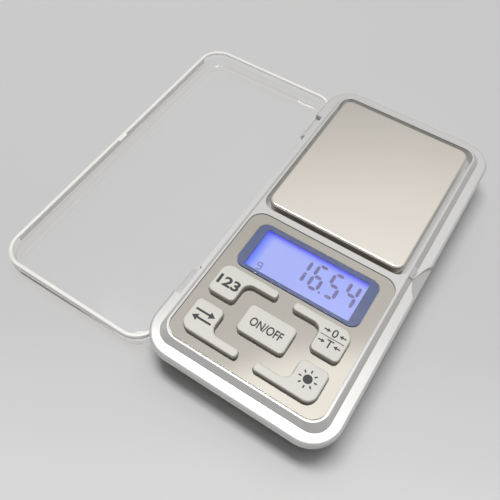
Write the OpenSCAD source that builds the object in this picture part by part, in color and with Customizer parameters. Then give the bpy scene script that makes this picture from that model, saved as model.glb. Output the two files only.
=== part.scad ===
// Digital coin scale with a sprung weighing pan and a clear cover that swings right open.
// Millimetres. Z = 0 is the flat underside of the case, +Y runs from the keys to the pan.

/* [Case] */
// Width of the case over its side band
body_w = 60; // [58:0.5:66]
// Length of the case over its side band
body_l = 120; // [119:0.5:128]
// Corner radius of the side band
body_r = 9.6; // [8.5:0.1:11]
// Height of the ledge above the underside
ledge_z = 12.8; // [12.8:0.1:14]
// Rounding of the ledge's outer edge
ledge_edge = 0.75; // [0.4:0.05:1]
// Width of the flat part of the ledge
ledge_flat = 2.62; // [2.4:0.02:2.8]
// Height of the visible side band
band_h = 3.4; // [3:0.1:3.6]
// Wall of the side band
band_wall = 3; // [2.7:0.1:3.1]
// Thickness of the upper shell under the ledge
deck_t = 1.6; // [1.4:0.1:1.7]

/* [Rim] */
// Height of the raised rim above the ledge
rim_h = 2.19; // [1.9:0.01:2.6]
// How far the rim's outer wall leans inward over its height
rim_lean = 1.54; // [1.2:0.02:1.7]
// Width of the rim's flat top
rim_top = 0.55; // [0.4:0.05:0.8]
// Corner radius at the foot of the rim
rim_r = 5.24; // [4.8:0.02:6]
// Near side of the crossbar, measured from the near end of the case
bar_y = 54.3; // [54:0.1:58]
// Width of the crossbar
bar_w = 2.15; // [1.8:0.05:3]
// Depth of the pan's recess below the ledge
recess_depth = 1.4; // [1:0.1:1.5]
// Thickness of the recess floor
recess_floor = 1; // [0.8:0.1:1.2]
// Corner radius of the recess
recess_r = 4; // [3:0.1:5]

/* [Lower shell] */
// How far the lower shell's top stands in from the side band
low_inset = 1.9; // [1.7:0.1:2.1]
// How much further in its bottom stands
low_taper = 0.9; // [0.5:0.1:1.2]
// Wall of the lower shell
low_wall = 2; // [1.8:0.1:2.1]
// Floor of the lower shell
floor_t = 1.4; // [1.3:0.1:1.6]
// Height of the locating lip inside the side band
lip_h = 1; // [0.6:0.1:1.3]
// Clearance between the lip and the side band
lip_gap = 0.1; // [0.05:0.05:0.2]
// Bevel along the bottom edge of the lower shell
low_edge = 0.6; // [0.3:0.1:0.9]

/* [Faceplate] */
// Thickness of the faceplate
plate_t = 0.9; // [0.7:0.05:1]
// Groove between the faceplate and the rim
plate_gap = 0.3; // [0.2:0.05:0.4]
// How far the faceplate lies below the rim's top
plate_drop = 0.09; // [0.05:0.01:0.2]
// Corner radius of the faceplate
plate_r = 4.4; // [3:0.1:5]
// Width of the shelf that carries the faceplate
shelf_w = 1.44; // [1.2:0.02:1.6]
// Thickness of that shelf
shelf_t = 1; // [0.8:0.1:1]

/* [Display] */
// Width of the display window
window_w = 40.4; // [38:0.2:42]
// Length of the display window
window_l = 17; // [16:0.2:17.4]
// Corner radius of the display window
window_r = 3; // [1.5:0.1:4]
// Distance from the window to the crossbar
window_far = 3.1; // [2.6:0.1:3.4]
// How far the window stands above the faceplate
window_proud = 0.3; // [0.1:0.05:0.5]
// Width of the frame that the window rests on
window_seat = 2; // [1.8:0.1:2.3]
// Clearance round the window and round the display glass
window_gap = 0.15; // [0.1:0.05:0.3]
// Thickness of the display glass
glass_t = 1.8; // [1.2:0.1:1.8]
// Thickness of the light guide under the glass
backlight_t = 1.8; // [1.4:0.1:1.8]
// Width of the rubber connector strip under the glass
zebra_w = 1.6; // [1:0.1:2]
// Width of the bridge between the window's opening and the keys' opening
bridge_w = 0.7; // [0.5:0.05:0.8]

/* [Keys] */
// Sideways place of the keypad's middle
keypad_x = -0.3; // [-0.6:0.1:0.6]
// Height of a key above the faceplate
key_rise = 1.85; // [1.2:0.05:2.4]
// Thickness of a pressed snap dome under a key, which leaves the rest of the space as the key's travel
dome_t = 0.1; // [0.05:0.05:0.1]
// Radius of a snap dome
dome_r = 2.4; // [2:0.1:3]
// Clearance round a key in the faceplate
key_gap = 0.25; // [0.15:0.05:0.35]
// Rounding of a key's top edge
key_edge = 0.4; // [0.3:0.05:0.8]
// Retaining flange round the foot of a key
key_flange = 0.6; // [0.5:0.05:0.7]
// Thickness of that flange
flange_t = 0.35; // [0.3:0.05:0.35]
// Distance from the shelf to the corner keys
key_side = 2.3; // [2:0.05:3]
// Width of a corner key's block
corner_w = 8.6; // [8:0.1:9.2]
// Inner end of a corner key's bar, from the keypad's middle
corner_tip = 2.65; // [2:0.05:4]
// Gap between the near keys and the far keys
row_gap = 3.4; // [3:0.1:4]
// Width of a corner key's bar
corner_bar = 2.5; // [2:0.1:3]
// Rounding of a corner key's outer corner
corner_r = 3; // [1.5:0.1:3.5]
// Rounding of a key's other corners
key_r = 1.5; // [0.8:0.1:1.8]
// Rounding of the tip of a corner key's bar
tip_r = 1; // [0.85:0.05:1.2]
// Rounding of the inside corner between block and bar
inside_r = 2.6; // [1:0.1:3]
// Near side of the near keys, from the near end of the case
near_keys = 8.75; // [8.75:0.05:9]
// Gap between the far keys and the far side of their opening
keys_back = 1.2; // [1:0.05:1.4]
// Gap between the power key and the corner keys' blocks
power_side = 4.8; // [4:0.1:5.6]
// Length of the power key
power_l = 8.9; // [8:0.1:9.4]
// How far the power key's middle lies beyond the keypad's middle
power_up = 0.1; // [-0.4:0.1:0.6]

/* [Weighing pan] */
// Gap between the pan and either side of its recess
pan_side = 1.74; // [1.2:0.02:2.4]
// Corner radius of the pan
pan_r = 3; // [2:0.1:4]
// Height of the pan's top above the ledge
pan_rise = 4.2; // [3.8:0.1:4.8]
// Thickness of the pan's sheet
pan_t = 0.6; // [0.4:0.05:0.7]
// Rounding of the pan's edge
pan_edge = 0.45; // [0.35:0.05:1.4]
// Least rounding inside the pan's edge
pan_inner_edge = 0.1; // [0.05:0.05:0.3]
// Height of the pan's skirt
pan_skirt = 3.5; // [3:0.1:3.8]
// Gap between the crossbar and the pan
pan_near = 0.85; // [0.6:0.05:1.4]
// Gap between the pan and the far side of its recess
pan_far = 3.4; // [1:0.02:4]
// How far the pan sinks under its full load
pan_travel = 0.3; // [0.2:0.05:0.3]
// Thickness of the carrier under the pan
carrier_t = 1.5; // [1.2:0.1:1.6]
// Gap between the carrier and the pan's skirt
carrier_gap = 0.6; // [0.3:0.1:1]

/* [Load cell] */
// How much shorter the load cell is than the pan
cell_short = 10.2; // [9:0.2:12]
// Width of the load cell
cell_w = 10; // [9:0.5:11]
// Height of the load cell
cell_h = 5.8; // [5.5:0.1:6]
// Height of the underside of the load cell
cell_z = 3.2; // [3.1:0.05:3.3]
// Distance from the crossbar's far side to the load cell
cell_near = 5.5; // [5:0.1:6]
// Radius of the two holes that let the load cell bend
cell_bore_r = 2; // [1.6:0.1:2.2]
// Distance between those two holes
cell_bore_gap = 8; // [6:0.5:9]
// Length of the end block at either end of the load cell
cell_end = 11.5; // [11:0.5:12]
// Distance between the two screws at either end
cell_pitch = 6; // [5:0.2:6]
// Radius of the load cell's screw shanks
cell_screw_r = 1.15; // [1:0.05:1.2]
// Clearance round those shanks
cell_screw_gap = 0.1; // [0.05:0.05:0.15]
// Radius of the load cell's screw heads
cell_head_r = 1.9; // [1.7:0.1:2]
// Height of the load cell's screw heads
cell_head_h = 0.95; // [0.8:0.05:1]
// Length of the potting over the strain gauges
gauge_l = 12; // [8:0.5:14]
// Thickness of that potting
gauge_t = 0.8; // [0.5:0.1:1]

/* [Batteries and boards] */
// Diameter of a battery cell
battery_d = 10.5; // [10.3:0.1:10.6]
// Distance from the case's side to the end of the battery bay
bay_side = 5.4; // [5.3:0.1:6]
// Free space round the battery cells
battery_gap = 0.2; // [0.1:0.05:0.25]
// Depth of the contact space at either end of a battery cell
contact_depth = 2.35; // [2:0.05:2.4]
// Thickness of the contact plates
contact_t = 0.4; // [0.3:0.05:0.5]
// Gap between the battery bay's wall and the main board
bay_back = 0.95; // [0.75:0.05:1.05]
// Walls of the battery bay
bay_wall = 1.2; // [1:0.1:1.4]
// Distance from the edge of the shelf's opening to the key board's near edge
board_in = 1.5; // [1.2:0.1:1.8]
// Thickness of the key board
board_t = 0.9; // [0.8:0.05:0.9]
// Thickness of the main board
main_t = 1; // [0.8:0.1:1.2]
// Radius of the main board's screws
board_screw_r = 0.75; // [0.6:0.05:0.8]
// Radius of the heads of those screws
board_head_r = 1.7; // [1.4:0.1:1.8]
// Height of the heads of those screws
board_head_h = 0.9; // [0.7:0.1:1]
// Length of the main board's screws in their posts
board_screw_l = 3.5; // [3:0.5:6]
// Radius of the posts that take those screws
post_r = 2.2; // [1.8:0.1:2.4]
// Radius of the rests under the main board's corners
rest_r = 1.2; // [0.8:0.1:1.3]
// Width of the flat lead between the boards
ribbon_w = 12; // [6:0.5:20]
// Width of the flat lead from the load cell
cell_ribbon_w = 6; // [3:0.5:8]
// Thickness of the flat leads
ribbon_t = 0.25; // [0.15:0.05:0.3]
// Height of the tongues along the battery door
tongue_t = 0.3; // [0.2:0.05:0.4]
// How far those tongues stand out
tongue_w = 0.6; // [0.3:0.05:0.6]
// Depth of the thumb grooves in the battery door
groove_depth = 0.3; // [0.1:0.05:0.4]
// Width of the controller's resin blob
chip_w = 9; // [6:0.5:12]
// Thickness of the controller's resin blob
chip_t = 1.4; // [0.8:0.1:2]
// Thickness of the battery door
door_t = 1.1; // [1:0.05:1.1]
// Clearance round the battery door
door_gap = 0.15; // [0.1:0.05:0.2]

/* [Screws and feet] */
// Distance of the case screws from the case's side
screw_side = 9; // [9:0.1:10]
// Distance of the case screws from either end of the case
screw_end = 6.6; // [6.5:0.1:6.7]
// Radius of the case screws' shanks
screw_r = 0.8; // [0.7:0.05:0.9]
// Radius of the case screws' heads
screw_head_r = 1.9; // [1.6:0.1:2]
// Height of the case screws' heads
screw_head_h = 1.1; // [0.8:0.1:1.2]
// Radius of the upper shell's screw bosses
boss_r = 2.1; // [1.8:0.1:2.1]
// Radius of the lower shell's screw bosses
low_boss_r = 2.8; // [2.6:0.1:3]
// Height where the bosses of the two shells meet
boss_z = 5; // [4:0.5:6]
// Radius of a rubber foot
foot_r = 2.6; // [2.3:0.1:2.6]
// How far the feet stand out below the underside
foot_out = 0.8; // [0.6:0.1:1]
// Depth of the feet's seats
foot_seat = 0.4; // [0.3:0.1:0.5]

/* [Cover] */
// Depth of the clear cover
lid_h = 6.8; // [6.6:0.1:8]
// Wall of the cover
lid_wall = 1.4; // [1.2:0.1:1.45]
// Thickness of the cover's flat top
lid_top_t = 1.3; // [1:0.1:1.6]
// Corner radius of the cover
lid_r = 8.1; // [7:0.1:9]
// Rounding of the cover's outer edge
lid_edge = 1.8; // [1:0.1:2.4]
// Rounding inside the cover
lid_fillet = 3; // [1.5:0.1:3.4]
// Gap between the shut cover and the ledge
lid_gap = 0.12; // [0.1:0.02:0.2]
// How far the cover stands in from the side band
lid_inset = 0.8; // [0.75:0.05:1]
// Outer side of the narrowed ledge that the cover's hinge wall rests on, from the middle line
hinge_ledge = 1.78; // [1.7:0.02:1.85]

/* [Hinge] */
// Distance of the hinge axis from the side band's outer face
hinge_in = 1.4; // [1.3:0.05:1.5]
// Radius of a hinge barrel
knuckle_r = 1.9; // [1.7:0.05:2]
// Length of a hinge barrel
knuckle_l = 9.4; // [8:0.1:9.6]
// Start of the hinge recess, from the end of the case
recess_y = 17.8; // [17.6:0.1:18.2]
// Length of the hinge recess
recess_l = 10.7; // [10.7:0.1:11.2]
// Depth of the hinge recess at the ledge
recess_in = 2.4; // [2.35:0.05:2.5]
// Radius of the pegs that the cover turns on
peg_r = 0.8; // [0.6:0.05:0.85]
// Length of a peg
peg_l = 1.4; // [1:0.1:1.6]
// Running clearance of a peg in its hole
peg_gap = 0.08; // [0.05:0.01:0.1]
// Free space round a barrel and at its ends
knuckle_gap = 0.3; // [0.2:0.05:0.4]
// Length of the lug that holds a peg
lug_l = 3.4; // [3:0.1:4]
// Thickness of the web between barrel and cover
web_t = 0.9; // [0.7:0.05:0.9]

/* [Latch and scoop] */
// Distance of the thumb scoop's middle from the near end
scoop_y = 59.8; // [59:0.1:62]
// Length of the thumb scoop along the case's side
scoop_l = 14; // [10:0.1:15]
// How far the scoop's inner point lies nearer than its middle
scoop_skew = 1; // [0:0.1:2]
// How far the scoop's two edges bow outward, as a share of their length
scoop_bow = 0.7; // [0:0.05:0.8]
// How deep the thumb scoop is at the side
scoop_depth = 1.9; // [1:0.1:2.4]
// Distance of the latch bump's middle from the near end
latch_y = 60.3; // [59:0.1:62]
// Length of the latch bump on the rim
latch_l = 4; // [3:0.1:5]
// How far the cover's catch stands out of its wall
catch_out = 0.5; // [0.3:0.05:0.6]
// How far the latch bump stands out of the rim's wall
latch_out = 0.8; // [0.5:0.05:0.9]
// Height of the latch bump
latch_h = 1; // [0.8:0.1:1.2]

/* [Hidden] */

// a cut runs past the face it opens by this much
over = 1;
// thin slice from which leaning walls are blended
slice = 0.02;
// clearance of a screw in the hole it is driven into
fit_gap = 0.05;
// steps in a rounded corner of an outline, and in a rounded edge
corner_steps = 10;
edge_steps = 4;
puck_fn = 64;
bore_fn = 48;

half_w = body_w / 2;
half_l = body_l / 2;
// a place measured from the near end, and one measured from the far end
function near(d) = d - half_l;
function far(d) = half_l - d;

// heights
band_z = ledge_z - band_h;
deck_z = ledge_z - deck_t;
rim_z = ledge_z + rim_h;
plate_z = rim_z - plate_drop;
seat_z = plate_z - plate_t;
shelf_z = seat_z - shelf_t;
board_z = shelf_z - board_t;
recess_z = ledge_z - recess_depth;
recess_under = recess_z - recess_floor;
pan_z = ledge_z + pan_rise;
window_z = plate_z + window_proud;
glass_z = seat_z - glass_t;
backlight_z = glass_z - backlight_t;
main_z = backlight_z - main_t;
flange_z = seat_z - flange_t;
key_z = plate_z + key_rise;
cell_top = cell_z + cell_h;
pan_foot = pan_z - pan_skirt;
carrier_z = pan_z - pan_t - carrier_t;
battery_z = board_z - battery_gap / 2 - battery_d / 2;
lid_top_z = ledge_z + lid_h;
hinge_z = (lid_top_z - foot_out) / 2;
bore_z = cell_z + cell_h / 2;
tongue_z = (door_t - tongue_t) / 2;
screw_seat = foot_seat + screw_head_h + fit_gap;

// plan places of the rim
rim_in = ledge_edge + ledge_flat;
rim_top_in = rim_in + rim_lean;
inner_in = rim_top_in + rim_top;
inner_w = half_w - inner_in;
rim_far_extra = 0.3;
bar_far = bar_y + bar_w;

// plan places of the keys
corner_out = inner_w - shelf_w - key_side;
corner_in = corner_out - corner_w;
power_w = 2 * (corner_in - power_side);

// plan places of the display
window_y = bar_y - window_far - window_l / 2;
glass_w = window_w - 2 * window_seat - 2 * window_gap;
glass_l = window_l - window_seat - 2 * window_gap;
keys_far = window_y - window_l / 2 - window_gap - bridge_w;
corner_l = (keys_far - keys_back - near_keys - row_gap) / 2;
far_keys = near_keys + corner_l + row_gap;
power_y = far_keys - row_gap / 2 + power_up - power_l / 2;
backlight_l = glass_l - zebra_w - window_gap;
glass_near = window_y - glass_l / 2;

// plan places of the boards and the bay
under_gap = 0.4;
board_far = keys_far + bridge_w;
main_near = board_far + under_gap;
main_far = bar_y - bar_w + under_gap;
bay_half_l = battery_d + 2.5 * battery_gap;
bay_y = main_near - bay_back - bay_wall - bay_half_l;
cell_shift = battery_d / 2 + battery_gap;
bay_half_w = half_w - bay_side;
battery_l = 2 * (bay_half_w - contact_depth);
board_half_w = bay_half_w - slice;
key_opening = inner_in + shelf_w;
board_near = key_opening + board_in;
main_half_w = bay_half_w - under_gap;
main_post_x = (glass_w / 2 + main_half_w) / 2 + ribbon_t;

// plan places of the pan and the load cell
pan_w = 2 * (inner_w - pan_side);
pan_l = body_l - inner_in - rim_far_extra - pan_far - bar_far - pan_near;
pan_y = bar_far + pan_near + pan_l / 2;
cell_l = pan_l - cell_short;
cell_y = bar_far + cell_near + cell_l / 2;
fixed_y = cell_y - cell_l / 2 + cell_end / 2;
free_y = cell_y + cell_l / 2 - cell_end / 2;
pillar_gap = 1.2;

// hinge
hinge_x = -(half_w - hinge_in);
hinge_wall_x = -(half_w - hinge_ledge);
lid_right = half_w - lid_inset;
lid_w = lid_right - hinge_wall_x;
lid_x = (lid_right + hinge_wall_x) / 2;
lid_l = body_l - 2 * lid_inset;
pocket_r = knuckle_r + knuckle_gap;
lug_r = hinge_in;

shell_white = "#f6f4f0";

// unit vector from a to b
function toward(a, b) = (b - a) / norm(b - a);
// +1 where the outline turns left at corner i, -1 where it turns right
function turn(p, i) = let (n = len(p), a = p[(i + n - 1) % n], b = p[(i + 1) % n],
    u = p[i] - a, v = b - p[i]) sign(u[0] * v[1] - u[1] * v[0]);
// an outline of square corners, run anticlockwise, with corner i rounded to radius r[i]
function rounded(p, r, steps = corner_steps) = let (n = len(p)) [
    for (i = [0 : n - 1]) let (ua = toward(p[i], p[(i + n - 1) % n]), ub = toward(p[i], p[(i + 1) % n]),
        c = p[i] + r[i] * (ua + ub))
        for (k = [0 : steps]) let (t = 90 * k / steps) c - r[i] * (cos(t) * ub + sin(t) * ua)];
// the same outline grown outward by g
function grown(p, g) = let (n = len(p)) [
    for (i = [0 : n - 1]) let (ua = toward(p[i], p[(i + n - 1) % n]), ub = toward(p[i], p[(i + 1) % n]))
        p[i] - turn(p, i) * g * (ua + ub)];
function grown_r(p, r, g) = [for (i = [0 : len(p) - 1]) r[i] + turn(p, i) * g];
function box4(x0, y0, x1, y1) = [[x0, y0], [x1, y0], [x1, y1], [x0, y1]];

// a rectangle between two corners, with rounded corners
module rect(x0, y0, x1, y1, r) {
    polygon(rounded(box4(x0, y0, x1, y1), [r, r, r, r]));
}

// a prism between two heights
module slab(z0, z1) {
    translate([0, 0, z0]) linear_extrude(z1 - z0) children();
}

// a plain block between two corners
module block(x0, y0, z0, x1, y1, z1) {
    translate([x0, y0, z0]) cube([x1 - x0, y1 - y0, z1 - z0]);
}

// a rounded block whose top edge is rounded to radius edge
module soft_block(x0, y0, x1, y1, r, z0, z1, edge) {
    soft_corners(box4(x0, y0, x1, y1), [r, r, r, r], z0, z1, edge);
}

// the same, with its own radius at each of its four corners
module soft_corners(p, r, z0, z1, edge) {
    inward = [[1, 1], [-1, 1], [-1, -1], [1, -1]];
    hull() for (i = [0 : 3]) translate(p[i] + r[i] * inward[i])
        rotate_extrude($fn = puck_fn) polygon(concat([[0, z0], [r[i], z0]],
            [for (k = [0 : edge_steps]) let (t = 90 * k / edge_steps)
                [r[i] - edge + edge * cos(t), z1 - edge + edge * sin(t)]],
            [[0, z1]]));
}

// a round bar along Z
module rod(x, y, z0, z1, r) {
    translate([x, y, z0]) cylinder(h = z1 - z0, r = r, $fn = bore_fn);
}

// a round bar along Y
module rod_y(x, z, y0, y1, r) {
    translate([x, y0, z]) rotate([-90, 0, 0]) cylinder(h = y1 - y0, r = r, $fn = bore_fn);
}

// a round bar along X
module rod_x(y, z, x0, x1, r) {
    translate([x0, y, z]) rotate([0, 90, 0]) cylinder(h = x1 - x0, r = r, $fn = bore_fn);
}

// at the near end and mirrored at the far end
module both_ends() {
    children();
    mirror([0, 1, 0]) children();
}

module case_screw_places() {
    screw_x = half_w - screw_side;
    for (x = [-screw_x, screw_x], y = [near(screw_end), far(screw_end)])
        translate([x, y, 0]) children();
}

// space swept by a hinge barrel, with the slot that its web passes through
module hinge_space(gap) {
    both_ends()
        rod_y(hinge_x, hinge_z, near(recess_y), near(recess_y + recess_l), knuckle_r + gap);
}

// lugs below the side band that hold the cover's pegs
module hinge_lugs(grow) {
    both_ends() {
        rod_y(hinge_x, hinge_z, near(recess_y - lug_l - grow), near(recess_y), lug_r + grow);
        block(hinge_x - lug_r - grow, near(recess_y - lug_l - grow), hinge_z,
            hinge_x + lug_r + grow, near(recess_y), band_z + over);
    }
}

// thumb scoop: two bowed edges that meet at the ledge's inner edge, deeper towards the side
module scoop_cut() {
    inner_x = half_w - rim_in + slice;
    outer_x = half_w + over;
    reach = (outer_x - inner_x) / (half_w - inner_x);
    steps = 8;
    function edge(l) = [for (k = [0 : steps]) let (u = reach * k / steps)
        [inner_x + (half_w - inner_x) * u, l * (u + scoop_bow * u * (1 - u)) - scoop_skew]];
    far_edge = edge(scoop_l / 2 + scoop_skew);
    near_edge = edge(scoop_skew - scoop_l / 2);
    intersection() {
        slab(0, ledge_z + over) translate([0, near(scoop_y)])
            polygon(concat(near_edge, [for (k = [steps : -1 : 1]) far_edge[k]]));
        translate([0, near(scoop_y) + scoop_l, 0]) rotate([90, 0, 0]) linear_extrude(2 * scoop_l)
            polygon([[inner_x, ledge_z], [outer_x, ledge_z - scoop_depth * reach],
                [outer_x, ledge_z + over], [inner_x, ledge_z + over]]);
    }
}

// wedge on the rim's outer wall that the cover's catch snaps over
module latch_bump() {
    mid_share = 0.55;
    mid_z = ledge_z + rim_h * mid_share;
    wall_x = half_w - rim_in - rim_lean * mid_share;
    translate([0, near(latch_y) + latch_l / 2, 0]) rotate([90, 0, 0]) linear_extrude(latch_l)
        polygon([[wall_x - latch_h, mid_z - latch_h], [wall_x + latch_out, mid_z - latch_h / 4],
            [wall_x + latch_out, mid_z + latch_h / 4], [wall_x - latch_h, mid_z + latch_h]]);
}

module upper_case() color(shell_white) {
    difference() {
        union() {
            difference() {
                union() {
                    soft_block(-half_w, -half_l, half_w, half_l, body_r, band_z, ledge_z, ledge_edge);
                    hull() {
                        slab(ledge_z - slice, ledge_z + slice)
                            rect(-half_w + rim_in, -half_l + rim_in, half_w - rim_in, half_l - rim_in, rim_r);
                        slab(rim_z - slice, rim_z)
                            rect(-half_w + rim_top_in, -half_l + rim_top_in,
                                half_w - rim_top_in, half_l - rim_top_in, rim_r - slice);
                    }
                    latch_bump();
                }
                // inside of the side band
                slab(band_z - over, deck_z)
                    rect(-half_w + band_wall, -half_l + band_wall, half_w - band_wall, half_l - band_wall,
                        body_r - band_wall);
                // space under the shelf for the key board and the display
                slab(deck_z - over, shelf_z)
                    rect(-board_half_w - under_gap, near(key_opening + under_gap),
                        board_half_w + under_gap, near(bar_y - bar_w / 2), recess_r);
            }
            // floor of the pan's recess
            slab(recess_under, recess_z + over)
                rect(-inner_w - recess_floor, near(bar_far - recess_floor),
                    inner_w + recess_floor, far(inner_in + rim_far_extra - recess_floor), recess_r);
            case_screw_places() rod(0, 0, boss_z, deck_z + low_edge / 6, boss_r);
            hinge_lugs(0);
        }
        // opening that holds the faceplate
        slab(seat_z, rim_z + over)
            rect(-inner_w, near(inner_in), inner_w, near(bar_y), plate_r + plate_gap);
        // openings for the keys and for the display glass
        slab(deck_z - over, seat_z + over)
            rect(-inner_w + shelf_w, near(key_opening), inner_w - shelf_w, near(keys_far), plate_r);
        slab(deck_z - over, seat_z + over)
            rect(-glass_w / 2 - window_gap, near(glass_near - window_gap),
                glass_w / 2 + window_gap, near(glass_near + glass_l + window_gap), window_gap);
        // pan's recess and the opening for the pillar of its carrier
        slab(recess_z, rim_z + over)
            rect(-inner_w, near(bar_far), inner_w, far(inner_in + rim_far_extra), recess_r);
        slab(recess_under - over, recess_z + over)
            rect(-cell_w / 2 - pillar_gap, near(free_y - cell_end / 2 - pillar_gap),
                cell_w / 2 + pillar_gap, near(free_y + cell_end / 2 + pillar_gap), pillar_gap);
        case_screw_places() rod(0, 0, boss_z - over, deck_z - deck_t / 3, screw_r + fit_gap);
        // hinge recesses and the narrowed ledge between them
        hinge_space(knuckle_gap);
        both_ends() {
            block(-half_w - over, near(recess_y), band_z - over,
                -half_w + recess_in, near(recess_y + recess_l), ledge_z + over);
            block(-half_w - over, near(recess_y + recess_l - over), band_z - over,
                hinge_wall_x, over, ledge_z + over);
            rod_y(hinge_x, hinge_z, near(recess_y - peg_l - peg_gap), near(recess_y) + over,
                peg_r + peg_gap);
        }
        scoop_cut();
    }
}

module lower_case() color("#e9e7e2") {
    bottom_in = low_inset + low_taper;
    bottom_r = body_r - bottom_in;
    top_r = body_r - low_inset;
    bay_x = half_w - bottom_in - floor_t / 2;
    sunk = floor_t / 2;
    difference() {
        union() {
            difference() {
                hull() {
                    slab(0, slice)
                        rect(-half_w + bottom_in + low_edge, -half_l + bottom_in + low_edge,
                            half_w - bottom_in - low_edge, half_l - bottom_in - low_edge,
                            bottom_r - low_edge);
                    slab(low_edge, low_edge + slice)
                        rect(-half_w + bottom_in, -half_l + bottom_in,
                            half_w - bottom_in, half_l - bottom_in, bottom_r);
                    slab(band_z - slice, band_z)
                        rect(-half_w + low_inset, -half_l + low_inset,
                            half_w - low_inset, half_l - low_inset, top_r);
                }
                hull() {
                    slab(floor_t, floor_t + slice)
                        rect(-half_w + bottom_in + low_wall, -half_l + bottom_in + low_wall,
                            half_w - bottom_in - low_wall, half_l - bottom_in - low_wall,
                            bottom_r - low_wall);
                    slab(band_z - slice, band_z + over)
                        rect(-half_w + low_inset + low_wall, -half_l + low_inset + low_wall,
                            half_w - low_inset - low_wall, half_l - low_inset - low_wall,
                            top_r - low_wall);
                }
            }
            // locating lip
            lip_in = band_wall + lip_gap;
            difference() {
                slab(band_z - lip_h, band_z + lip_h)
                    rect(-half_w + lip_in, -half_l + lip_in, half_w - lip_in, half_l - lip_in,
                        body_r - lip_in);
                slab(band_z - lip_h - over, band_z + lip_h + over)
                    rect(-half_w + low_inset + low_wall, -half_l + low_inset + low_wall,
                        half_w - low_inset - low_wall, half_l - low_inset - low_wall,
                        top_r - low_wall);
            }
            // battery bay, solid until its space is cut
            block(-bay_x, near(bay_y - bay_half_l - bay_wall), sunk,
                bay_x, near(bay_y + bay_half_l + bay_wall), deck_z - 0.1);
            block(-bay_half_w, near(bay_y - bay_half_l - bay_wall), sunk,
                bay_half_w, near(bay_y + bay_half_l + bay_wall), board_z);
            // backing behind the far hinge recess
            block(-bay_x, far(recess_y + recess_l + bay_wall), sunk,
                -bay_half_w, far(recess_y - bay_wall), band_z + lip_h);
            case_screw_places() rod(0, 0, foot_seat / 2, boss_z, low_boss_r);
            // pedestal of the load cell, overload stop, posts of the main board
            block(-cell_w / 2 - 1, near(fixed_y - cell_end / 2), sunk,
                cell_w / 2 + 1, near(fixed_y + cell_end / 2), cell_z);
            stop_l = cell_pitch - 2 * cell_head_r - 4 * cell_screw_gap;
            block(-cell_w / 3, near(free_y - stop_l / 2), sunk,
                cell_w / 3, near(free_y + stop_l / 2), cell_z - pan_travel - fit_gap);
            for (s = [-1, 1]) {
                rod(s * main_post_x, near(window_y), sunk, main_z, post_r);
                rod(s * main_post_x, near(main_near + rest_r), sunk, main_z, rest_r);
                rod(s * main_post_x, near(main_far - rest_r), sunk, main_z, rest_r);
            }
        }
        // battery space, open at the top
        block(-bay_half_w, near(bay_y - bay_half_l), -over,
            bay_half_w, near(bay_y + bay_half_l), board_z + over);
        // way out of the battery door, with grooves for its tongues
        block(-bay_half_w, near(bay_y - bay_half_l), -over,
            half_w, near(bay_y + bay_half_l), door_t + door_gap);
        block(-bay_half_w, near(bay_y - bay_half_l - tongue_w - cell_screw_gap), tongue_z - cell_screw_gap,
            half_w, near(bay_y + bay_half_l + tongue_w + cell_screw_gap),
            tongue_z + tongue_t + cell_screw_gap);
        case_screw_places() {
            rod(0, 0, -over, deck_z, screw_r + cell_screw_gap);
            rod(0, 0, -over, screw_seat, screw_head_r + cell_screw_gap);
            rod(0, 0, -over, foot_seat, foot_r + cell_screw_gap);
        }
        for (s = [-1, 1]) {
            rod(0, near(fixed_y + s * cell_pitch / 2), sunk, cell_z + over, cell_screw_r + fit_gap);
            rod(s * main_post_x, near(window_y), main_z - board_screw_l - over, main_z + over,
                board_screw_r + fit_gap);
        }
        hinge_space(knuckle_gap);
        hinge_lugs(lid_gap);
    }
}

// outline of the far left key: block at the outside, bar along its far side
corner_outline = [[-corner_out, 0], [-corner_in, 0], [-corner_in, corner_l - corner_bar],
    [-corner_tip, corner_l - corner_bar], [-corner_tip, corner_l], [-corner_out, corner_l]];
corner_radii = [key_r, key_r, inside_r, tip_r, tip_r, corner_r];
power_outline = box4(-power_w / 2, 0, power_w / 2, power_l);
power_radii = [key_r, key_r, key_r, key_r];

module key_shape(p, r, g) {
    polygon(rounded(grown(p, g), grown_r(p, r, g)));
}

// flange that keeps a key under the faceplate
module key_foot(p, r) {
    slab(flange_z, seat_z) key_shape(p, r, key_gap + key_flange);
}

// rounded inside corner where a corner key's bar meets its block, in layers that widen upward
module inside_corner() {
    // place of its root, which reaches the middle of the bar in the top layer
    depth = inside_r * (inside_r + corner_bar / 2) / (inside_r + key_edge);
    outline = concat([[-depth, depth]], [for (i = [0 : corner_steps])
        let (t = 180 - 90 * i / corner_steps) inside_r * [cos(t), sin(t)]]);
    translate([-corner_in + inside_r, corner_l - corner_bar - inside_r, 0]) {
        slab(flange_z, key_z - key_edge) polygon(outline);
        for (k = [1 : edge_steps]) let (t = 90 * k / edge_steps, u = 90 * (k - 1) / edge_steps,
            low = key_z - key_edge * (1 - sin(u)), high = key_z - key_edge * (1 - sin(t)),
            wide = inside_r + key_edge * (1 - cos(u)), wider = inside_r + key_edge * (1 - cos(t)))
            translate([0, 0, low]) linear_extrude(high - low, scale = wider / wide)
                polygon(outline * (wide / inside_r));
    }
}

module corner_key() {
    soft_corners(box4(-corner_out, 0, -corner_in, corner_l), [key_r, key_r, key_edge + slice, corner_r],
        flange_z, key_z, key_edge);
    soft_corners(box4(-corner_in - key_r, corner_l - corner_bar, -corner_tip, corner_l),
        [key_edge + slice, tip_r, tip_r, key_edge + slice], flange_z, key_z, key_edge);
    inside_corner();
    key_foot(corner_outline, corner_radii);
}

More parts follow.
